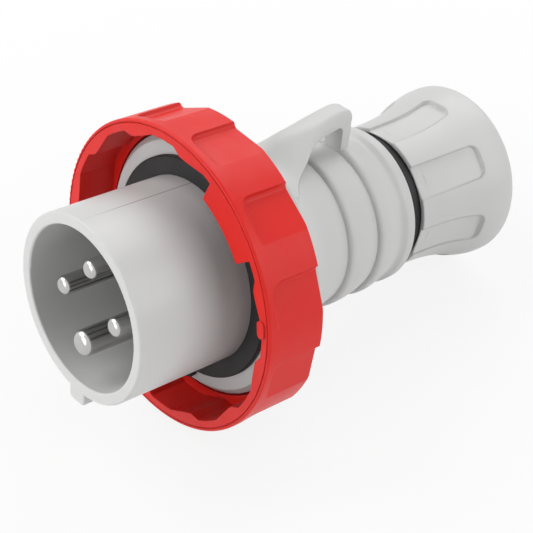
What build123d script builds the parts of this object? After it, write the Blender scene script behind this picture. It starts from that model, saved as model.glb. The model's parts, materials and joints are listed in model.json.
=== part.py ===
from build123d import *
import os
from math import atan2, cos, degrees, radians, sin

# Industrial pin and sleeve plug, three phases and earth, with a bayonet locking ring.
# Everything is drawn about the plug's own axis: +X runs from the collar's mouth (x = 0)
# to the cable end, +Z points to the hanging ear. Angles about that axis start at +Y
# and pass +Z at 90. At the end the whole plug is laid down as it rests on a table,
# on its locking ring and on the flare of its gland nut.
# Lengths are in millimetres.

RUN = 0.3            # gap between moulded faces that turn or slide on each other
SEAT = 0.1           # gap of a piece that drops into its seat
HOLE_PLAY = 0.2      # a moulded hole's radius over its pin's or screw's radius

# Collar, key and flange
COLLAR_RADIUS = 24.75
COLLAR_WALL = 3.15
FLANGE_FRONT = 35.0
FLANGE_THICKNESS = 4.8
FLANGE_BEVEL = 1.5
RIM_ROUNDING = 0.5
SKIRT_RADIUS = 28.3
SKIRT_WALL = 4.1
SKIRT_LENGTH = 6.0
KEY_WIDTH = 6.2
KEY_HEIGHT = 3.4
KEY_FRONT = 0.0
KEY_CORNER = 1.2
KEY_ANGLE = 270.0

# Contacts
PIN_PITCH_RADIUS = 10.65
PHASE_PIN_RADIUS = 2.5
EARTH_PIN_RADIUS = 3.5
PHASE_TIP = 1.9
EARTH_TIP = 0.2
PHASE_ANGLES = (0.0, 90.0, 180.0)
EARTH_ANGLE = 270.0
SHOULDER_HEIGHT = 1.6
SHOULDER_LENGTH = 2.4
SEAT_STEP = 0.2
SEAT_PROUD = 0.5
BARREL_STEP = 0.9
BARREL_LENGTH = 15.0
WIRE_HOLE_DEPTH = 11.5
WIRE_HOLE_WALL = 1.9
TERMINAL_SCREW_RADIUS = 1.7
TERMINAL_HEAD_RADIUS = 2.6
TERMINAL_HEAD_HEIGHT = 2.2
TERMINAL_SCREW_FROM_END = 6.5

# Contact carrier and retainer
CARRIER_FRONT = 36.0
CARRIER_THICKNESS = 8.2
CARRIER_LIP = 4.2
RETAINER_THICKNESS = 3.6
RETAINER_SCREW_ANGLES = (135.0, 315.0)
HOUSING_SCREW_ANGLES = (45.0, 225.0)
SCREW_PITCH_RADIUS = 15.4
SCREW_RADIUS = 1.5
SCREW_HEAD_RADIUS = 2.8
SCREW_HEAD_HEIGHT = 2.2
RETAINER_SCREW_DEPTH = 4.0
SCREW_HOLE_EXTRA = 1.0
SLOT_WIDTH = 0.7
SLOT_DEPTH = 0.9

# Gasket on the flange face
GASKET_THICKNESS = 1.6
GASKET_WIDTH = 4.95
GASKET_LOBE_RIM = 4.85   # gasket left outside the key
GASKET_LOBE_SIDE = 2.15  # gasket left beside the key

# Locking ring
RING_FRONT = 25.2
RING_WALL = 3.0
RING_POCKETS = 12
POCKET_DEPTH = 1.5
POCKET_START = 94.0
POCKET_SPAN = 17.0
POCKET_FRONT = 27.4
POCKET_CORNER = 3.2
POCKET_ROUNDING = 1.4
TAB_GAP = 1.75
TAB_DEPTH = 1.45
BORE_GAP = 0.7
LIP_THICKNESS = 2.3
RING_ROUNDING = 0.5
BEAD_WIDTH = 0.75
RAMP_HEIGHT = 4.05
RAMP_START = 113.5
RAMP_SPAN = 31.0
RAMP_THICKNESS = 4.0
RAMP_RISE = 2.0
NUB_ANGLE = 170.0
NUB_SPAN = 7.0
NUB_HEIGHT = 2.4
NUB_PROUD = 0.4
RING_TURN = 60.0
STOP_WIDTH = 10.0
STOP_HEIGHT = 1.1

# Rear housing
SPIGOT_WALL = 5.0
FLANGE_LIP = 1.7
SHOULDER_STEP = 1.2
SHOULDER_THICKNESS = 4.0
SEAL_SECTION = 1.8
SEAL_GROOVE_WIDTH = 2.2
FAIRING_DROP = 5.4
FAIRING_LENGTH = 13.5
WAIST_RADIUS = 23.2
CREST_FIRST = 71.4
CREST_STEP = 10.9
CREST_RADIUS = 22.75
GROOVE_DEPTH = 1.4
GROOVE_RISE = 1.7
RIM_RISE = 2.4
RIM_REAR = 94.2
RIM_LENGTH = 2.6
RIM_RADIUS = 22.3
RIM_CORNER = 1.1
CAVITY_RADIUS = 18.9
CAVITY_FRONT = 60.0
CAVITY_REAR = 88.0
CAVITY_TAPER = 0.8
CAVITY_END = 4.0
BOSS_LENGTH = 12.0
BOSS_WALL = 1.9
BOSS_RIB = 2.4
NECK_RADIUS = 17.5
NECK_LENGTH = 22.8
GLAND_BORE_RADIUS = 13.5
GLAND_BORE_DEPTH = 16.0
CABLE_WAY_RADIUS = 9.5

# Hanging ear: one row for each cross-section of its roof, from the shoulder to the post, with
# the place along the plug, the ridge's height and three (Y, Z) points of the flank below it
EAR_ROOF = (
    (46.4, 30.6, (6.0, 30.0), (11.5, 28.4), (16.5, 25.8)),
    (57.5, 29.2, (2.2, 28.1), (6.5, 25.5), (13.8, 21.7)),
    (62.0, 30.8, (2.5, 29.8), (5.8, 26.7), (10.4, 22.9)),
    (67.2, 31.6, (2.7, 30.7), (4.5, 28.9), (6.2, 26.4)),
    (74.0, 32.6, (2.6, 32.3), (3.3, 31.2), (3.4, 29.0)),
    (83.4, 32.7, (2.5, 32.5), (3.0, 31.7), (3.1, 30.2)),
)
EAR_FOOT = 17.4
EAR_POST = 2.8
EAR_HOLE = ((55.5, 21.9), (60.5, 23.2), (65.3, 25.7), (67.6, 27.2), (70.5, 28.0), (79.0, 29.1))

# Cable gland
SEAL_RADIUS = 18.9
SEAL_LENGTH = 5.4
CAGE_WALL = 1.5
CAGE_PROUD = 2.4
CAGE_FINGERS = 10
GROMMET_PROUD = 1.8
CABLE_RADIUS = 6.0
WASHER_RADIUS = 14.7
WASHER_THICKNESS = 2.0
NUT_FROM_RIM = 5.0
NUT_LENGTH = 32.4
NUT_FLARE_LENGTH = 30.0
NUT_FLARE_RADIUS = 25.0
NUT_FRONT_RADIUS = 20.4
NUT_CURVE = ((0.0, 0.0), (0.25, 0.05), (0.58, 0.37), (0.73, 0.67), (0.87, 0.92), (1.0, 1.0))
NUT_EDGE = 2.1
NUT_FLUTES = 7
FLUTE_ANGLE = 139.0
FLUTE_WIDTH = 9.4
FLUTE_STEP_SIDE = 3.8
FLUTE_DEPTH = 1.0
FLUTE_REAR_DEPTH = 1.4
FLUTE_LENGTH = 22.4
FLUTE_CORNER = 2.2
NUT_TRAVEL = 3.0
NUT_MOUTH_RADIUS = 16.0
NUT_MOUTH_DEPTH = 6.4

collar_bore = COLLAR_RADIUS - COLLAR_WALL
flange_rear = FLANGE_FRONT + FLANGE_THICKNESS
ring_lip_front = flange_rear + RUN
ring_rear = ring_lip_front + LIP_THICKNESS
shoulder_front = ring_rear + RUN
shoulder_rear = shoulder_front + SHOULDER_THICKNESS
skirt_bore = SKIRT_RADIUS - SKIRT_WALL
skirt_rear = flange_rear + SKIRT_LENGTH
carrier_rear = CARRIER_FRONT + CARRIER_THICKNESS
carrier_step = CARRIER_FRONT + CARRIER_LIP
retainer_front = carrier_rear
retainer_rear = retainer_front + RETAINER_THICKNESS
pin_shoulder_rear = carrier_rear
pin_shoulder_front = pin_shoulder_rear - SHOULDER_LENGTH
barrel_rear = pin_shoulder_rear + BARREL_LENGTH
spigot_radius = SKIRT_RADIUS + SPIGOT_WALL
lip_bore = spigot_radius + RUN
stop_radius = spigot_radius + STOP_HEIGHT
seal_pitch = SKIRT_RADIUS + SPIGOT_WALL / 2
flange_radius = spigot_radius + FLANGE_LIP
shoulder_radius = flange_radius + SHOULDER_STEP
fairing_radius = shoulder_radius - FAIRING_DROP
ring_tab_radius = flange_radius + TAB_GAP
ring_scallop_radius = ring_tab_radius + TAB_DEPTH
ring_radius = ring_scallop_radius + RING_WALL
ramp_radius = ring_tab_radius - RAMP_HEIGHT
boss_front = barrel_rear - 1
boss_rear = boss_front + BOSS_LENGTH
rim_front = RIM_REAR - RIM_LENGTH
neck_rear = RIM_REAR + NECK_LENGTH
gland_bore_front = neck_rear - GLAND_BORE_DEPTH
cage_rear = neck_rear + CAGE_PROUD
grommet_rear = neck_rear + GROMMET_PROUD
nut_front = RIM_REAR + NUT_FROM_RIM
nut_rear = nut_front + NUT_LENGTH
nut_flare = nut_front + NUT_FLARE_LENGTH
flute_rear = nut_front + FLUTE_LENGTH
nut_shoulder = nut_rear - NUT_MOUTH_DEPTH
washer_rear = nut_shoulder - SEAT
nut_bore = NECK_RADIUS + RUN
washer_hole = CABLE_WAY_RADIUS + RUN
crests = (CREST_FIRST, CREST_FIRST + CREST_STEP)
far = 200.0


def polar(radius, angle):
    """A point of the cross-section (Y, Z) from its radius and its angle in degrees."""
    return radius * cos(radians(angle)), radius * sin(radians(angle))


def turned(outline):
    """Solid of revolution about the plug's axis from (along, radius) points."""
    return revolve(make_face(Polyline([(a, 0, r) for a, r in outline], close=True)), Axis.X)


def profiled(*edges):
    """Solid of revolution about the plug's axis from edges drawn in the X-Z plane."""
    return revolve(make_face(edges), Axis.X)


def disc(front, rear, radius, bore=0.0):
    """Plain disc, tube or rod about the plug's axis."""
    return turned([(front, bore), (front, radius), (rear, radius), (rear, bore)])


def prism(front, rear, points):
    """Solid along the plug's axis from (Y, Z) points of its cross-section."""
    face = make_face(Polyline([(front, y, z) for y, z in points], close=True))
    return extrude(face, amount=rear - front, dir=(1, 0, 0))


def sector(front, rear, inner, outer, start, span):
    """Part of a tube between two radii, from one angle over a span in degrees."""
    angles = (start, start + span / 2, start + span)
    edges = Wire([
        ThreePointArc(*[(front, *polar(outer, a)) for a in angles]),
        Line((front, *polar(outer, angles[2])), (front, *polar(inner, angles[2]))),
        ThreePointArc(*[(front, *polar(inner, a)) for a in reversed(angles)]),
        Line((front, *polar(inner, angles[0])), (front, *polar(outer, angles[0]))),
    ])
    return extrude(make_face(edges), amount=rear - front, dir=(1, 0, 0))


def at_angle(shape, angle):
    """Turn a shape, drawn towards +Z, about the plug's axis to an angle."""
    return Rot(angle - 90, 0, 0) * shape


def beside_axis(shape, radius, angle):
    """Move a shape, drawn on the plug's axis, out to a radius and turn it to an angle."""
    return at_angle(Pos(0, 0, radius) * shape, angle)


def one(shape):
    """The single solid of a result."""
    solids = shape.solids()
    return solids[0] if len(solids) == 1 else Compound(solids)


def slotted(screw, front, radius):
    """Cut a screwdriver slot across a screw head's front face."""
    slot = Pos(front + SLOT_DEPTH / 2, 0, 0) * Box(SLOT_DEPTH, SLOT_WIDTH, 2 * radius)
    return screw - slot


def key_rib(grow=0.0):
    """The key under the collar, or a larger copy of it for the holes round it."""
    half = KEY_WIDTH / 2 + grow
    top = COLLAR_RADIUS + KEY_HEIGHT + grow
    inner = collar_bore + COLLAR_WALL / 2
    rib = prism(KEY_FRONT, FLANGE_FRONT + 0.5, [(-half, inner), (half, inner), (half, top), (-half, top)])
    if not grow:
        rib = fillet(rib.edges().filter_by(Axis.X).group_by(Axis.Z)[-1], KEY_CORNER)
        rib = fillet(rib.edges().group_by(Axis.X)[0].sort_by(Axis.Z)[-1], RIM_ROUNDING)
    return at_angle(rib, KEY_ANGLE)


def collar_shell():
    """Collar, flange and rear skirt in one moulding, with the key rib."""
    body = turned([
        (0, collar_bore), (0, COLLAR_RADIUS), (FLANGE_FRONT, COLLAR_RADIUS),
        (FLANGE_FRONT, flange_radius - FLANGE_BEVEL), (FLANGE_FRONT + FLANGE_BEVEL, flange_radius),
        (flange_rear, flange_radius), (flange_rear, SKIRT_RADIUS), (skirt_rear, SKIRT_RADIUS),
        (skirt_rear, skirt_bore), (carrier_step, skirt_bore), (carrier_step, collar_bore),
    ])
    rim = body.edges().filter_by(GeomType.CIRCLE).group_by(Axis.X)[0]
    body = fillet(rim, RIM_ROUNDING)
    return one(body + key_rib())


def contact_carrier():
    """Disc that closes the collar and locates the four contacts."""
    body = turned([
        (CARRIER_FRONT, 0), (CARRIER_FRONT, collar_bore - SEAT), (carrier_step + SEAT, collar_bore - SEAT),
        (carrier_step + SEAT, skirt_bore - SEAT), (carrier_rear, skirt_bore - SEAT), (carrier_rear, 0),
    ])
    for radius, angle in contacts():
        body -= beside_axis(disc(0, far, radius + SEAT_STEP + SEAT), PIN_PITCH_RADIUS, angle)
        seat = disc(pin_shoulder_front - SEAT, far, radius + SHOULDER_HEIGHT + HOLE_PLAY)
        body -= beside_axis(seat, PIN_PITCH_RADIUS, angle)
    for angle in HOUSING_SCREW_ANGLES:
        body -= beside_axis(disc(0, far, SCREW_RADIUS + HOLE_PLAY), SCREW_PITCH_RADIUS, angle)
        well = disc(0, CARRIER_FRONT + SCREW_HEAD_HEIGHT + SEAT, SCREW_HEAD_RADIUS + HOLE_PLAY)
        body -= beside_axis(well, SCREW_PITCH_RADIUS, angle)
    for angle in RETAINER_SCREW_ANGLES:
        hole = disc(carrier_rear - RETAINER_SCREW_DEPTH - SCREW_HOLE_EXTRA, far, SCREW_RADIUS + SEAT)
        body -= beside_axis(hole, SCREW_PITCH_RADIUS, angle)
    return one(body)


def contact_retainer():
    """Plate screwed behind the carrier that keeps the contacts' shoulders in."""
    body = disc(retainer_front, retainer_rear, skirt_bore - SEAT)
    for radius, angle in contacts():
        hole = disc(0, far, radius + BARREL_STEP + HOLE_PLAY)
        body -= beside_axis(hole, PIN_PITCH_RADIUS, angle)
    for angle in HOUSING_SCREW_ANGLES + RETAINER_SCREW_ANGLES:
        body -= beside_axis(disc(0, far, SCREW_RADIUS + HOLE_PLAY), SCREW_PITCH_RADIUS, angle)
    return one(body)


def contacts():
    """Radius and angle of each contact, the earth contact last."""
    return [(PHASE_PIN_RADIUS, a) for a in PHASE_ANGLES] + [(EARTH_PIN_RADIUS, EARTH_ANGLE)]


def contact_pin(tip, radius, angle):
    """Turned contact: domed pin, thicker seat, shoulder, and a barrel bored for the wire."""
    seat = radius + SEAT_STEP
    shoulder = radius + SHOULDER_HEIGHT
    barrel = radius + BARREL_STEP
    body = turned([
        (tip, 0), (tip, radius), (CARRIER_FRONT - SEAT_PROUD, radius), (CARRIER_FRONT - SEAT_PROUD, seat),
        (pin_shoulder_front, seat), (pin_shoulder_front, shoulder),
        (pin_shoulder_rear, shoulder), (pin_shoulder_rear, barrel), (barrel_rear, barrel), (barrel_rear, 0),
    ])
    dome = radius * 0.55
    body = fillet(body.edges().filter_by(GeomType.CIRCLE).group_by(Axis.X)[0], dome)
    wire_hole = barrel - WIRE_HOLE_WALL + 0.6
    body -= disc(barrel_rear - WIRE_HOLE_DEPTH, far, wire_hole)
    cross = Pos(barrel_rear - TERMINAL_SCREW_FROM_END, 0, barrel / 2)
    body -= cross * Cylinder(TERMINAL_SCREW_RADIUS + SEAT, barrel + 1)
    return one(beside_axis(body, PIN_PITCH_RADIUS, angle))


def terminal_screw(radius, angle):
    """Clamping screw across a contact's barrel, its head facing outwards."""
    barrel = radius + BARREL_STEP
    foot = barrel - WIRE_HOLE_WALL - 0.4
    shank = Pos(0, 0, (foot + barrel) / 2) * Cylinder(TERMINAL_SCREW_RADIUS, barrel - foot)
    head = Pos(0, 0, barrel + SEAT + TERMINAL_HEAD_HEIGHT / 2)
    head *= Cylinder(TERMINAL_HEAD_RADIUS, TERMINAL_HEAD_HEIGHT + 2 * SEAT)
    slot = Pos(0, 0, barrel + TERMINAL_HEAD_HEIGHT + SEAT)
    slot *= Box(2 * TERMINAL_HEAD_RADIUS, SLOT_WIDTH, SLOT_DEPTH)
    screw = Pos(barrel_rear - TERMINAL_SCREW_FROM_END, 0, 0) * (shank + head - slot)
    return one(beside_axis(screw, PIN_PITCH_RADIUS, angle))


def housing_screw(angle):
    """Long screw from the carrier's face into a boss of the rear housing."""
    head_front, head_rear = CARRIER_FRONT + SEAT, CARRIER_FRONT + SCREW_HEAD_HEIGHT
    screw = disc(head_front, head_rear, SCREW_HEAD_RADIUS) + disc(head_rear, boss_rear - 3, SCREW_RADIUS)
    screw = slotted(screw, head_front, SCREW_HEAD_RADIUS)
    return one(beside_axis(screw, SCREW_PITCH_RADIUS, angle))


def retainer_screw(angle):
    """Short screw that holds the retainer on the carrier."""
    head = disc(retainer_rear, retainer_rear + SCREW_HEAD_HEIGHT, SCREW_HEAD_RADIUS)
    shank = disc(carrier_rear - RETAINER_SCREW_DEPTH, retainer_rear, SCREW_RADIUS)
    slot = Pos(retainer_rear + SCREW_HEAD_HEIGHT - SLOT_DEPTH / 2, 0, 0)
    slot *= Box(SLOT_DEPTH, SLOT_WIDTH, 2 * SCREW_HEAD_RADIUS)
    return one(beside_axis(head + shank - slot, SCREW_PITCH_RADIUS, angle))


def face_gasket():
    """Flat gasket on the flange, with a lobe round the key."""
    front = FLANGE_FRONT - GASKET_THICKNESS
    half = KEY_WIDTH / 2 + GASKET_LOBE_SIDE
    inner, outer = COLLAR_RADIUS - COLLAR_WALL, COLLAR_RADIUS + KEY_HEIGHT + GASKET_LOBE_RIM
    lobe = prism(front, FLANGE_FRONT, [(-half, inner), (half, inner), (half, outer), (-half, outer)])
    lobe = fillet(lobe.edges().filter_by(Axis.X).group_by(Axis.Z)[-1], half * 0.6)
    body = disc(front, FLANGE_FRONT, COLLAR_RADIUS + GASKET_WIDTH) + at_angle(lobe, KEY_ANGLE)
    outer = body.edges().group_by(Axis.X)[0]
    body = chamfer(outer, 0.3)
    return one(body - disc(0, far, COLLAR_RADIUS + SEAT) - key_rib(grow=SEAT))


def housing_seal():
    """O-ring between the flange and the rear housing."""
    radius = SEAL_SECTION / 2
    return one(revolve(Plane.XZ * Pos(flange_rear + radius, seal_pitch) * Circle(radius), Axis.X))


def ring_blank():
    """The locking ring as turned, with tabs all round its mouth."""
    scallop_rear = FLANGE_FRONT + FLANGE_BEVEL
    bore = flange_radius + BORE_GAP
    bead = ring_radius - BEAD_WIDTH
    body = turned([
        (RING_FRONT, ring_tab_radius), (RING_FRONT, bead - 0.4), (RING_FRONT + 0.35, bead - 0.3),
        (RING_FRONT + 0.35, bead - 0.1), (RING_FRONT, bead), (RING_FRONT, ring_radius),
        (ring_rear, ring_radius), (ring_rear, lip_bore), (ring_lip_front, lip_bore), (ring_lip_front, bore),
        (scallop_rear, bore), (scallop_rear, ring_tab_radius),
    ])
    circles = body.edges().filter_by(GeomType.CIRCLE)
    return fillet([e for e in circles if abs(e.radius - ring_radius) < 0.01], RING_ROUNDING)


def ring_pocket():
    """Cutter of one finger pocket: a steep wall at its start, running out at its end."""
    floor = ring_radius - POCKET_DEPTH
    top = ring_radius + 2
    end = POCKET_SPAN
    cutter = prism(POCKET_FRONT, ring_rear + 1, [
        polar(floor, 0.4), polar(ring_radius + 0.02, end), polar(top, end), polar(top, -0.8)])
    corner = cutter.faces().filter_by(Axis.X).sort_by(Axis.X)[0].edges().sort_by(Axis.Z)[0]
    cutter = fillet(corner, POCKET_CORNER)
    floor_edges = cutter.faces().sort_by(Axis.Y)[0].edges()
    return fillet(floor_edges.sort_by(Axis.X)[:-1].sort_by(Axis.Z)[:-1], POCKET_ROUNDING)


def ring_scallop():
    """Cutter of one inner scallop, which follows the pocket outside it."""
    inner, tab = ring_scallop_radius, ring_tab_radius
    start, rise, fall, end = 4.0, 15.0, 27.5, 31.5
    arc = ThreePointArc(*[(0, *polar(inner, a)) for a in (rise, (rise + fall) / 2, fall)])
    edges = Wire([
        Line((0, *polar(tab - 0.02, start)), (0, *polar(inner, rise))), arc,
        Line((0, *polar(inner, fall)), (0, *polar(tab - 0.02, end))),
        Line((0, *polar(tab - 0.02, end)), (0, *polar(tab - 3, end))),
        Line((0, *polar(tab - 3, end)), (0, *polar(tab - 3, start))),
        Line((0, *polar(tab - 3, start)), (0, *polar(tab - 0.02, start))),
    ])
    face = Pos(RING_FRONT - 1, 0, 0) * make_face(edges)
    return extrude(face, amount=FLANGE_FRONT + FLANGE_BEVEL - RING_FRONT + 1, dir=(1, 0, 0))


def bayonet_ramp():
    """Inner cam of the ring, thicker towards its end, that pulls the plug in."""
    rear = RING_FRONT + RAMP_THICKNESS + RAMP_RISE
    outer = ring_radius - RING_WALL / 2
    ramp = sector(RING_FRONT, rear, ramp_radius, outer, 0, RAMP_SPAN)
    ramp = fillet(ramp.edges().filter_by(Axis.X).sort_by(Axis.Y)[0:1], 0.5)
    tall = outer * sin(radians(RAMP_SPAN))
    wedge = make_face(Polyline([
        (rear - RAMP_RISE, 0, -1), (rear + 1, 0, -1), (rear + 1, 0, tall + 1), (rear, 0, tall)], close=True))
    return ramp - extrude(wedge, amount=far, dir=(0, 1, 0))


def locking_ring():
    """Bayonet ring, free to turn between the flange and the housing's shoulder."""
    step = 360 / RING_POCKETS
    body = ring_blank()
    pocket, scallop, ramp = ring_pocket(), ring_scallop(), bayonet_ramp()
    for index in range(RING_POCKETS):
        body -= Rot(POCKET_START + index * step, 0, 0) * scallop
        body -= Rot(POCKET_START + index * step, 0, 0) * pocket
    for turn in (0, 180):
        body += Rot(RAMP_START + turn, 0, 0) * ramp
    nub = sector(RING_FRONT - NUB_PROUD, RING_FRONT + RING_WALL, ring_scallop_radius - NUB_HEIGHT / 2,
                 ring_scallop_radius + NUB_HEIGHT / 2, NUB_ANGLE - NUB_SPAN / 2, NUB_SPAN)
    body += fillet(nub.edges().filter_by(Axis.X), NUB_HEIGHT * 0.45)
    notch = sector(ring_lip_front - 1, ring_rear + 1, lip_bore - 1, stop_radius + RUN,
                   KEY_ANGLE - STOP_WIDTH / 2 - 1, STOP_WIDTH + RING_TURN + 2)
    return one(body - notch)


def housing_outside():
    """The rear housing filled up: spigot, shoulder, fairing, bands, rim and neck."""
    groove = CREST_RADIUS - GROOVE_DEPTH
    level, outwards, falling = (1, 0, 0), (0, 0, 1), (1, 0, -0.3)
    front = [
        (flange_rear, 0), (flange_rear, spigot_radius), (shoulder_front, spigot_radius),
        (shoulder_front, shoulder_radius - 0.3), (shoulder_front + 0.3, shoulder_radius),
        (shoulder_rear - 0.6, shoulder_radius), (shoulder_rear, shoulder_radius - 0.6),
        (shoulder_rear, fairing_radius),
    ]
    waist = (shoulder_rear + FAIRING_LENGTH, 0, WAIST_RADIUS)
    bands = [Spline([(shoulder_rear, 0, fairing_radius), waist], tangents=[(1, 0, -0.8), (1, 0, -0.2)])]
    here = waist
    for crest in crests:
        foot, peak = (crest - GROOVE_RISE, 0, groove), (crest, 0, CREST_RADIUS)
        if here == waist:
            bands.append(Line(here, foot))
        else:
            bands.append(Spline([here, foot], tangents=[level, falling]))
        bands.append(Spline([foot, peak], tangents=[outwards, level]))
        here = peak
    foot, rim = (rim_front - RIM_RISE, 0, groove), (rim_front, 0, RIM_RADIUS)
    bands.append(Spline([here, foot], tangents=[level, (1, 0, -0.1)]))
    bands.append(Spline([foot, rim], tangents=[level, level]))
    bands.append(Line(rim, (RIM_REAR - RIM_CORNER, 0, RIM_RADIUS)))
    corner = (RIM_REAR, 0, RIM_RADIUS - RIM_CORNER)
    bands.append(Spline([(RIM_REAR - RIM_CORNER, 0, RIM_RADIUS), corner], tangents=[level, (0, 0, -1)]))
    neck = [
        (RIM_REAR, RIM_RADIUS - RIM_CORNER), (RIM_REAR, NECK_RADIUS), (neck_rear - 1, NECK_RADIUS),
        (neck_rear, NECK_RADIUS - 1), (neck_rear, 0), (flange_rear, 0),
    ]
    straight = [Polyline([(a, 0, r) for a, r in points]).edges() for points in (front, neck)]
    return profiled(*straight[0], *bands, *straight[1])


def housing_cavity():
    """The room inside the rear housing: skirt seat, wiring space, cable way and gland bore."""
    return turned([
        (flange_rear, 0), (flange_rear, SKIRT_RADIUS + SEAT), (skirt_rear + 1, SKIRT_RADIUS + SEAT),
        (CAVITY_FRONT - 3, CAVITY_RADIUS + 1.4), (CAVITY_FRONT, CAVITY_RADIUS),
        (CAVITY_REAR - CAVITY_END, CAVITY_RADIUS - CAVITY_TAPER), (CAVITY_REAR, GLAND_BORE_RADIUS),
        (gland_bore_front - 3, CABLE_WAY_RADIUS), (gland_bore_front, CABLE_WAY_RADIUS),
        (gland_bore_front, GLAND_BORE_RADIUS), (neck_rear - 0.4, GLAND_BORE_RADIUS),
        (neck_rear, GLAND_BORE_RADIUS + 0.4), (neck_rear, 0),
    ])


def ear_section(along, ridge, *flank):
    """One cross-section of the ear: a roof through the flank's points on upright sides."""
    far_side = [(along, y, z) for y, z in flank]
    near_side = [(along, -y, z) for y, z in reversed(flank)]
    roof = Spline([*near_side, (along, 0, ridge), *far_side])
    foot = [(along, y, EAR_FOOT) for y in (flank[-1][0], -flank[-1][0])]
    sides = Polyline([far_side[-1], *foot, near_side[0]])
    return make_face([roof, *sides.edges()])


def hanging_ear():
    """Hood that grows out of the fairing and ends in a post, pierced from side to side."""
    ear = loft([ear_section(*row) for row in EAR_ROOF])
    post_rear = EAR_ROOF[-1][0]
    post = post_rear - EAR_POST
    roof = Spline([(a, 0, z) for a, z in EAR_HOLE])
    front, end = EAR_HOLE[0], EAR_HOLE[-1]
    inner_corner = (post, 0, end[1] - 1.6)
    corner = ThreePointArc((end[0], 0, end[1]), (post - 0.4, 0, end[1] - 0.5), inner_corner)
    under = EAR_FOOT - 1
    below = Polyline([inner_corner, (post, 0, under), (front[0], 0, under), (front[0], 0, front[1])])
    hole = extrude(make_face([roof, corner, *below.edges()]), amount=30, dir=(0, 1, 0), both=True)
    return ear - hole


def screw_boss():
    """Boss for a housing screw with the rib that ties it to the wall, towards +Z."""
    rib = Box(BOSS_LENGTH, BOSS_RIB, CAVITY_RADIUS + BOSS_WALL - SCREW_PITCH_RADIUS)
    middle = Pos((boss_front + boss_rear) / 2, 0, (CAVITY_RADIUS + BOSS_WALL + SCREW_PITCH_RADIUS) / 2)
    boss = Pos(0, 0, SCREW_PITCH_RADIUS) * disc(boss_front, boss_rear, SCREW_RADIUS + BOSS_WALL)
    hole = Pos(0, 0, SCREW_PITCH_RADIUS) * disc(0, boss_rear - 2, SCREW_RADIUS + SEAT)
    return boss + middle * rib - hole


def rear_housing():
    """Banded rear housing with fairing, ear, screw bosses and threaded neck."""
    outside = housing_outside()
    body = outside + hanging_ear() - housing_cavity()
    for angle in HOUSING_SCREW_ANGLES:
        body += at_angle(screw_boss(), angle) & outside
    groove = disc(flange_rear, flange_rear + SEAL_SECTION, seal_pitch + SEAL_GROOVE_WIDTH / 2,
                  seal_pitch - SEAL_GROOVE_WIDTH / 2)
    stop = sector(flange_rear, shoulder_front, spigot_radius - 1, stop_radius,
                  KEY_ANGLE - STOP_WIDTH / 2, STOP_WIDTH)
    return one(body - groove + stop)


def neck_seal():
    """Rubber sleeve on the neck that closes the gap to the gland nut."""
    return one(disc(RIM_REAR, RIM_REAR + SEAL_LENGTH, SEAL_RADIUS, NECK_RADIUS))


def clamp_cage():
    """Ring of fingers round the grommet, squeezed by the nut."""
    outer = GLAND_BORE_RADIUS - SEAT
    cage = turned([
        (gland_bore_front, outer - CAGE_WALL), (gland_bore_front, outer), (cage_rear - 2, outer),
        (cage_rear, outer - 1.1), (cage_rear, outer - CAGE_WALL),
    ])
    slit = Box(far, 1.2, 2 * CAGE_WALL + 2)
    for index in range(CAGE_FINGERS):
        cut = Pos(gland_bore_front + 4 + far / 2, 0, outer) * slit
        cage -= at_angle(cut, index * 360 / CAGE_FINGERS)
    return one(cage)


def cable_grommet():
    """Rubber grommet that grips the cable's sheath."""
    outer = GLAND_BORE_RADIUS - SEAT - CAGE_WALL - SEAT
    return one(turned([
        (gland_bore_front, CABLE_RADIUS + 0.8), (gland_bore_front, outer), (grommet_rear, outer),
        (grommet_rear, CABLE_RADIUS + 1.4), (grommet_rear - 2, CABLE_RADIUS),
        (gland_bore_front + 2, CABLE_RADIUS),
    ]))


def thrust_washer():
    """Washer inside the nut that presses on the grommet without turning."""
    return one(disc(washer_rear - WASHER_THICKNESS, washer_rear, WASHER_RADIUS, washer_hole))


def nut_curve(depth_front=0.0, depth_rear=0.0):
    """Points of the nut's outline from lip to flare, set in by a depth that grows rearwards."""
    length, rise = nut_flare - nut_front, NUT_FLARE_RADIUS - NUT_FRONT_RADIUS
    points = []
    for share, share_of_rise in NUT_CURVE:
        depth = depth_front + share * (depth_rear - depth_front)
        points.append((nut_front + share * length, 0, NUT_FRONT_RADIUS + share_of_rise * rise - depth))
    return points


def nut_flute():
    """Cutter of one flute: a flat that steps down at its upper edge and runs out at its lower one."""
    floor = nut_curve(FLUTE_DEPTH, FLUTE_REAR_DEPTH)
    top = 2 * NUT_FLARE_RADIUS
    above = Polyline([floor[-1], (nut_flare, 0, top), (nut_front, 0, top), floor[0]])
    outline = make_face([Spline(floor), *above.edges()])
    side_view = extrude(outline, amount=FLUTE_WIDTH, dir=(0, 1, 0), both=True)
    plan = Box(2 * (flute_rear - nut_front), FLUTE_WIDTH, 2 * top)
    plan = fillet(plan.edges().filter_by(Axis.Z).group_by(Axis.X)[-1], FLUTE_CORNER)
    return side_view & Pos(nut_front, FLUTE_STEP_SIDE - FLUTE_WIDTH / 2, 0) * plan


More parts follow.
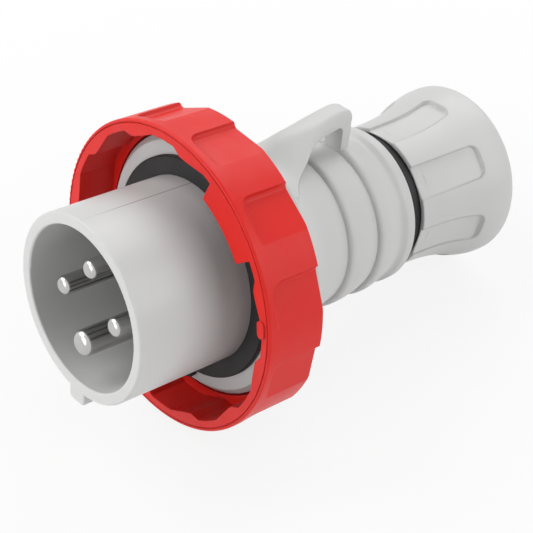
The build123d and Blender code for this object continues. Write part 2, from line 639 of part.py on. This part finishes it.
def gland_nut():
    """Fluted, flared gland nut with a bell mouth for the cable."""
    seal_room = RIM_REAR + SEAL_LENGTH + NUT_TRAVEL + RUN
    face_radius = NUT_FLARE_RADIUS - NUT_EDGE
    edge = ThreePointArc((nut_flare, 0, NUT_FLARE_RADIUS), (nut_rear - 0.65, 0, NUT_FLARE_RADIUS - 0.55),
                         (nut_rear, 0, face_radius))
    inside = Polyline([
        (nut_rear, 0, face_radius), (nut_rear, 0, NUT_MOUTH_RADIUS),
        (nut_shoulder + 1.6, 0, CABLE_WAY_RADIUS + 1.2), (nut_shoulder, 0, CABLE_WAY_RADIUS + 0.6),
        (nut_shoulder, 0, WASHER_RADIUS + RUN), (nut_shoulder - 4, 0, WASHER_RADIUS + RUN),
        (nut_shoulder - 4, 0, nut_bore), (seal_room, 0, nut_bore), (seal_room, 0, SEAL_RADIUS + RUN),
        (nut_front, 0, SEAL_RADIUS + RUN), (nut_front, 0, NUT_FRONT_RADIUS)])
    body = profiled(Spline(nut_curve()), edge, *inside.edges())
    flute = nut_flute()
    for index in range(NUT_FLUTES):
        body -= at_angle(flute, FLUTE_ANGLE + index * 360 / NUT_FLUTES)
    return one(body)


def plug():
    """Every piece by its node's name, about the plug's own axis."""
    pieces = {
        "collar_shell": collar_shell(),
        "contact_carrier": contact_carrier(),
        "contact_retainer": contact_retainer(),
        "earth_pin": contact_pin(EARTH_TIP, EARTH_PIN_RADIUS, EARTH_ANGLE),
        "earth_terminal_screw": terminal_screw(EARTH_PIN_RADIUS, EARTH_ANGLE),
        "face_gasket": face_gasket(),
        "housing_seal": housing_seal(),
        "rear_housing": rear_housing(),
        "neck_seal": neck_seal(),
        "clamp_cage": clamp_cage(),
        "cable_grommet": cable_grommet(),
        "locking_ring": locking_ring(),
        "thrust_washer": thrust_washer(),
        "gland_nut": gland_nut(),
    }
    for number, angle in enumerate(PHASE_ANGLES, start=1):
        pieces[f"phase_pin_{number}"] = contact_pin(PHASE_TIP, PHASE_PIN_RADIUS, angle)
        pieces[f"phase_terminal_screw_{number}"] = terminal_screw(PHASE_PIN_RADIUS, angle)
    for number, angle in enumerate(HOUSING_SCREW_ANGLES, start=1):
        pieces[f"housing_screw_{number}"] = housing_screw(angle)
    for number, angle in enumerate(RETAINER_SCREW_ANGLES, start=1):
        pieces[f"retainer_screw_{number}"] = retainer_screw(angle)
    return pieces


def rest_tilt():
    """Angle by which the cable end drops when ring and flare both touch the table."""
    return degrees(atan2(ring_radius - NUT_FLARE_RADIUS, nut_flare - ring_rear))


def laid_down(pieces):
    """Tilt the plug to its rest and set its box's bottom centre on the origin."""
    tilted = {name: Rot(0, rest_tilt(), 0) * shape for name, shape in pieces.items()}
    box = Compound(list(tilted.values())).bounding_box()
    shift = Pos(-box.center().X, -box.center().Y, -box.min.Z)
    return {name: shift * shape for name, shape in tilted.items()}, shift


def main():
    os.makedirs("parts", exist_ok=True)
    placed, shift = laid_down(plug())
    for name, shape in placed.items():
        export_step(shape, f"parts/{name}.step")
    print("tilt", round(rest_tilt(), 4), "shift", [round(v, 4) for v in shift.position])


main()
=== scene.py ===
import json
import math

import bpy
from mathutils import Matrix, Vector


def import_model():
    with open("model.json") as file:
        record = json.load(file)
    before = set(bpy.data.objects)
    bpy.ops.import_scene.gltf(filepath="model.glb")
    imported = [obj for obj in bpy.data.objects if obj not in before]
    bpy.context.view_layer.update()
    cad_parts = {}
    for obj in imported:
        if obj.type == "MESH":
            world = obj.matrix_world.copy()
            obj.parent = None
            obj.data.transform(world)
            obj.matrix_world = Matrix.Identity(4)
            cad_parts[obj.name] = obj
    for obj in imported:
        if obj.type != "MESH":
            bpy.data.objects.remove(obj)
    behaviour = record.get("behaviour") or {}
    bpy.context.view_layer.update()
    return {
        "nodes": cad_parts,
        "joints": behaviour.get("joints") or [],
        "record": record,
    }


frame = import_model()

MM = 0.001
COLLAR_RADIUS = 24.75 * MM

# The plug's own frame: along points from the collar's mouth to the cable end, up to the ear.
ring_joint = next(joint for joint in frame["joints"] if joint["name"] == "ring_turn")
origin = Vector(ring_joint["pos_m"])
along = -Vector(ring_joint["axis"]).normalized()
across = Vector((0, 1, 0))
up = along.cross(across).normalized()
tilt = math.atan2(-along.z, along.x)
plug_rotation = Matrix((along, across, up)).transposed()


def plug_point(x, y, z):
    """A point given in millimetres in the plug's own frame, in the row frame in metres."""
    return origin + plug_rotation @ (Vector((x, y, z)) * MM)


# Node materials. Noise scales are roughly waves per metre, depths and edge radii are in millimetres.

CLOUDING = 45
SHEEN = 160
SHEEN_SPREAD = 0.05
GRAIN = 2600
GRAIN_DEPTH = 0.05
TURNING_MARKS = 900
MARKS_ALONG = 9.0
MARKS_DEPTH = 0.02
MARKS_STRENGTH = 0.02
TARNISH = 120
EDGE = 0.35
FINE_EDGE = 0.2
NUT_EDGE = 0.9
PIN_EDGE = 0.15
PARTING_ANGLE = 87.5
PARTING_HALF_WIDTH = (0.06 * MM, 0.2 * MM)
PARTING_FADE = (4 * MM, 14 * MM)
PARTING_DEPTH = (0.12, 0.75)
PARTING_COLOUR = (0.16, 0.16, 0.165)
BOUNCE_SHARE = 0.8
BOUNCE_COLOUR = (0.1, 0.09, 0.09)


class Nodes:
    """Small helper that adds and links the nodes of one material."""

    def __init__(self, name):
        self.material = bpy.data.materials.new(name)
        self.material.use_nodes = True
        self.tree = self.material.node_tree
        self.shader = self.tree.nodes["Principled BSDF"]
        self.output = self.tree.nodes["Material Output"]
        coords = self.add("ShaderNodeTexCoord")
        self.place = coords.outputs["Object"]

    def add(self, kind, **settings):
        node = self.tree.nodes.new(kind)
        for key, value in settings.items():
            setattr(node, key, value)
        return node

    def link(self, source, target):
        self.tree.links.new(source, target)

    def set(self, **values):
        for key, value in values.items():
            self.shader.inputs[key.replace("_", " ")].default_value = value

    def math(self, operation, first, second=None):
        node = self.add("ShaderNodeMath", operation=operation)
        for socket, value in zip(node.inputs, (first, second)):
            if value is None:
                continue
            if isinstance(value, (int, float)):
                socket.default_value = value
            else:
                self.link(value, socket)
        return node.outputs[0]

    def noise(self, scale, detail=2.0, roughness=0.5, vector=None):
        node = self.add("ShaderNodeTexNoise")
        node.inputs["Scale"].default_value = scale
        node.inputs["Detail"].default_value = detail
        node.inputs["Roughness"].default_value = roughness
        self.link(vector or self.place, node.inputs["Vector"])
        return node.outputs["Fac"]

    def spread(self, value, low, high, start=0.3, end=0.7):
        """Map a value from one range to another; the start and end suit a noise."""
        node = self.add("ShaderNodeMapRange")
        self.link(value, node.inputs["Value"])
        node.inputs["From Min"].default_value = start
        node.inputs["From Max"].default_value = end
        node.inputs["To Min"].default_value = low
        node.inputs["To Max"].default_value = high
        return node.outputs["Result"]

    def blend(self, factor, first, second):
        node = self.add("ShaderNodeMix", data_type="RGBA")
        self.link(factor, node.inputs["Factor"])
        colours = [socket for socket in node.inputs if socket.type == "RGBA"]
        for socket, value in zip(colours, (first, second)):
            if isinstance(value, tuple):
                socket.default_value = (*value, 1.0)
            else:
                self.link(value, socket)
        return next(socket for socket in node.outputs if socket.type == "RGBA")

    def plug_frame(self):
        """The shaded point in the plug's own frame, as separate X, Y and Z."""
        mapping = self.add("ShaderNodeMapping", vector_type="TEXTURE")
        mapping.inputs["Location"].default_value = origin
        mapping.inputs["Rotation"].default_value = (0, tilt, 0)
        self.link(self.place, mapping.inputs["Vector"])
        split = self.add("ShaderNodeSeparateXYZ")
        self.link(mapping.outputs["Vector"], split.inputs["Vector"])
        return split.outputs["X"], split.outputs["Y"], split.outputs["Z"]

    def relief(self, height, strength, distance, edge=0.0):
        """Bump from a height, on edges rounded by a radius in millimetres."""
        bump = self.add("ShaderNodeBump")
        bump.inputs["Strength"].default_value = strength
        bump.inputs["Distance"].default_value = distance * MM
        self.link(height, bump.inputs["Height"])
        if edge:
            bevel = self.add("ShaderNodeBevel", samples=8)
            bevel.inputs["Radius"].default_value = edge * MM
            self.link(bevel.outputs["Normal"], bump.inputs["Normal"])
        self.link(bump.outputs["Normal"], self.shader.inputs["Normal"])


def plastic(name, colour, shade, roughness, edge=EDGE, grain=0.05, gloss=0.5):
    """Moulded plastic: faint clouding of the colour, fine grain and softened edges."""
    nodes = Nodes(name)
    cloud = nodes.spread(nodes.noise(CLOUDING, detail=3), 0.0, 1.0)
    nodes.colour = nodes.blend(cloud, colour, shade)
    nodes.link(nodes.colour, nodes.shader.inputs["Base Color"])
    sheen = nodes.spread(nodes.noise(SHEEN, detail=4), roughness - SHEEN_SPREAD, roughness + SHEEN_SPREAD)
    nodes.link(sheen, nodes.shader.inputs["Roughness"])
    nodes.relief(nodes.noise(GRAIN, detail=3, roughness=0.6), grain, GRAIN_DEPTH, edge)
    nodes.set(Specular_IOR_Level=gloss)
    return nodes


def quiet_bounce(nodes):
    """Take part of the hue out of the light that this surface throws on its neighbours."""
    ray = nodes.add("ShaderNodeLightPath")
    factor = nodes.math("MULTIPLY", ray.outputs["Is Diffuse Ray"], BOUNCE_SHARE)
    nodes.link(nodes.blend(factor, nodes.colour, BOUNCE_COLOUR), nodes.shader.inputs["Base Color"])


def parting_line(nodes):
    """Fine mould line along the collar at one angle, fainter towards the mouth."""
    x, y, z = nodes.plug_frame()
    turn = nodes.math("SUBTRACT", nodes.math("ARCTAN2", z, y), math.radians(PARTING_ANGLE))
    off = nodes.math("MULTIPLY", nodes.math("ABSOLUTE", turn), COLLAR_RADIUS)
    line = nodes.spread(off, 1.0, 0.0, *PARTING_HALF_WIDTH)
    depth = nodes.spread(x, *PARTING_DEPTH, *PARTING_FADE)
    factor = nodes.math("MULTIPLY", line, depth)
    nodes.link(nodes.blend(factor, nodes.colour, PARTING_COLOUR), nodes.shader.inputs["Base Color"])


def turned_metal(name, bright, dull, smooth, rough):
    """Plated metal with fine turning marks round the plug's axis."""
    nodes = Nodes(name)
    x, y, z = nodes.plug_frame()
    stretched = nodes.add("ShaderNodeCombineXYZ")
    for axis, value in zip("XYZ", (nodes.math("MULTIPLY", x, MARKS_ALONG), y, z)):
        nodes.link(value, stretched.inputs[axis])
    marks = nodes.noise(TURNING_MARKS, detail=3, vector=stretched.outputs["Vector"])
    nodes.link(nodes.spread(marks, smooth, rough), nodes.shader.inputs["Roughness"])
    nodes.relief(marks, MARKS_STRENGTH, MARKS_DEPTH, PIN_EDGE)
    tarnish = nodes.spread(nodes.noise(TARNISH), 0.0, 1.0)
    nodes.link(nodes.blend(tarnish, bright, dull), nodes.shader.inputs["Base Color"])
    nodes.set(Metallic=1.0)
    return nodes


def scene_materials():
    """One material for each slot of the record, and one more for the nut's softer edges."""
    light, light_shade = (0.70, 0.70, 0.695), (0.675, 0.675, 0.67)
    grey, grey_shade = (0.68, 0.68, 0.675), (0.655, 0.655, 0.65)
    red, red_shade = (0.8, 0.013, 0.007), (0.75, 0.01, 0.006)
    dark, dark_shade = (0.055, 0.055, 0.06), (0.045, 0.045, 0.05)
    white, white_shade = (0.78, 0.78, 0.76), (0.74, 0.74, 0.72)
    black, black_shade = (0.024, 0.024, 0.025), (0.018, 0.018, 0.019)
    nickel, nickel_shade = (0.54, 0.535, 0.525), (0.46, 0.455, 0.445)
    zinc, zinc_shade = (0.56, 0.56, 0.55), (0.5, 0.5, 0.49)
    collar = plastic("collar_light_grey", light, light_shade, 0.4)
    parting_line(collar)
    ring = plastic("moulded_red", red, red_shade, 0.42, gloss=0.36)
    quiet_bounce(ring)
    made = {
        "light_plastic": collar,
        "nut": plastic("nut_grey", grey, grey_shade, 0.45, NUT_EDGE),
        "grey_plastic": plastic("moulded_grey", grey, grey_shade, 0.45),
        "red_plastic": ring,
        "dark_plastic": plastic("moulded_dark", dark, dark_shade, 0.5, FINE_EDGE),
        "white_plastic": plastic("moulded_white", white, white_shade, 0.35, FINE_EDGE),
        "black_rubber": plastic("black_rubber", black, black_shade, 0.6, FINE_EDGE, 0.12, 0.35),
        "plated_brass": turned_metal("nickel_plate", nickel, nickel_shade, 0.17, 0.26),
        "steel": turned_metal("zinc_plate", zinc, zinc_shade, 0.28, 0.42),
    }
    return {slot: nodes.material for slot, nodes in made.items()}


def dress_nodes():
    """Give every CAD node its procedural material and smooth shading."""
    materials = scene_materials()
    slots = {entry["node"]: entry["material_slot"] for entry in frame["record"]["subparts"]}
    slots["gland_nut"] = "nut"
    for name, node in frame["nodes"].items():
        node.data.materials.clear()
        node.data.materials.append(materials[slots[name]])
        node.data.shade_smooth()


dress_nodes()


# Stage, light and camera

FLOOR_HALF = 2.5
FLOOR_CLOUDING = 3
FLOOR_WHITE = 0.85
SHADOW_REACH = (0.06, 0.22)
AMBIENT = 0.15
LAMP_SIZE = 0.7
LAMP_TARGET = (0, 0, 0.04)

# Each lamp's name, its place in metres and its power in watts.
LAMPS = (
    ("front_left", (-0.8, 0.0, 0.42), 3.1),
    ("back_left", (-0.35, 0.5, 0.65), 3.5),
    ("back_right", (0.55, 0.2, 0.65), 2.6),
    ("near_side", (0.3, -0.7, 0.43), 3.1),
)


def seen_directly(tree):
    """1 for rays from the camera and for what gloss and glass show, 0 for light on the object."""
    ray = tree.nodes.new("ShaderNodeLightPath")
    total = ray.outputs["Is Camera Ray"]
    for kind in ("Is Glossy Ray", "Is Transmission Ray"):
        either = tree.nodes.new("ShaderNodeMath")
        either.operation = "MAXIMUM"
        tree.links.new(total, either.inputs[0])
        tree.links.new(ray.outputs[kind], either.inputs[1])
        total = either.outputs[0]
    return total


def floor_material():
    """Pale floor that keeps a soft shadow and turns to plain white away from the object."""
    nodes = Nodes("pale_floor")
    pale = nodes.blend(nodes.noise(FLOOR_CLOUDING), (0.86, 0.86, 0.86), (0.88, 0.88, 0.88))
    nodes.link(pale, nodes.shader.inputs["Base Color"])
    nodes.set(Roughness=0.9, Specular_IOR_Level=0.1)
    distance = nodes.add("ShaderNodeVectorMath", operation="LENGTH")
    nodes.link(nodes.place, distance.inputs[0])
    white = nodes.spread(distance.outputs["Value"], FLOOR_WHITE, 1.0, *SHADOW_REACH)
    glow = nodes.add("ShaderNodeEmission")
    mixed = nodes.add("ShaderNodeMixShader")
    nodes.link(nodes.math("MULTIPLY", seen_directly(nodes.tree), white), mixed.inputs["Fac"])
    nodes.link(nodes.shader.outputs["BSDF"], mixed.inputs[1])
    nodes.link(glow.outputs["Emission"], mixed.inputs[2])
    nodes.link(mixed.outputs["Shader"], nodes.output.inputs["Surface"])
    return nodes.material


def floor():
    """Level floor under the object, at the height it rests on."""
    corners = [(FLOOR_HALF * x, FLOOR_HALF * y, 0) for x, y in ((-1, -1), (1, -1), (1, 1), (-1, 1))]
    mesh = bpy.data.meshes.new("floor")
    mesh.from_pydata(corners, [], [(0, 1, 2, 3)])
    obj = bpy.data.objects.new("floor", mesh)
    bpy.context.scene.collection.objects.link(obj)
    mesh.materials.append(floor_material())


def area_light(name, place, power):
    """Round soft lamp that faces the object."""
    data = bpy.data.lights.new(name, "AREA")
    data.shape = "DISK"
    data.size = LAMP_SIZE
    data.energy = power
    lamp = bpy.data.objects.new(name, data)
    lamp.location = place
    facing = Vector(LAMP_TARGET) - Vector(place)
    lamp.rotation_euler = facing.to_track_quat("-Z", "Y").to_euler()
    bpy.context.scene.collection.objects.link(lamp)


def world():
    """White surroundings, dimmer as light on the object than as seen."""
    scene_world = bpy.data.worlds.new("studio")
    bpy.context.scene.world = scene_world
    scene_world.use_nodes = True
    tree = scene_world.node_tree
    background = tree.nodes["Background"]
    background.inputs["Color"].default_value = (1, 1, 1, 1)
    strength = tree.nodes.new("ShaderNodeMapRange")
    strength.inputs["To Min"].default_value = AMBIENT
    strength.inputs["To Max"].default_value = 1.0
    tree.links.new(seen_directly(tree), strength.inputs["Value"])
    tree.links.new(strength.outputs["Result"], background.inputs["Strength"])


def camera():
    """Camera fitted to the photograph in the plug's own frame."""
    azimuth, elevation, roll = (math.radians(value) for value in (44.36, 32.98, 6.35))
    distance, shift_right, shift_up = 358.0, 45.28, 10.48
    focal_pixels, photo_side, sensor = 1482.0, 533, 36.0
    ahead = Vector((math.sin(azimuth), math.cos(azimuth), 0))
    level = Vector((math.cos(azimuth), -math.sin(azimuth), 0))
    above = Vector((0, 0, 1))
    back = math.sin(elevation) * above - math.cos(elevation) * ahead
    upright = math.cos(elevation) * above + math.sin(elevation) * ahead
    right = math.cos(roll) * level + math.sin(roll) * upright
    top = math.cos(roll) * upright - math.sin(roll) * level
    place = plug_point(*(shift_right * right + shift_up * top + distance * back))
    data = bpy.data.cameras.new("camera")
    data.sensor_width = sensor
    data.lens = focal_pixels / photo_side * sensor
    data.clip_start = 0.01
    obj = bpy.data.objects.new("camera", data)
    turned = [plug_rotation @ side for side in (right, top, back)]
    obj.matrix_world = Matrix.Translation(place) @ Matrix(turned).transposed().to_4x4()
    bpy.context.scene.collection.objects.link(obj)
    bpy.context.scene.camera = obj


floor()
world()
for lamp in LAMPS:
    area_light(*lamp)
camera()
bpy.context.scene.view_settings.view_transform = "Standard"
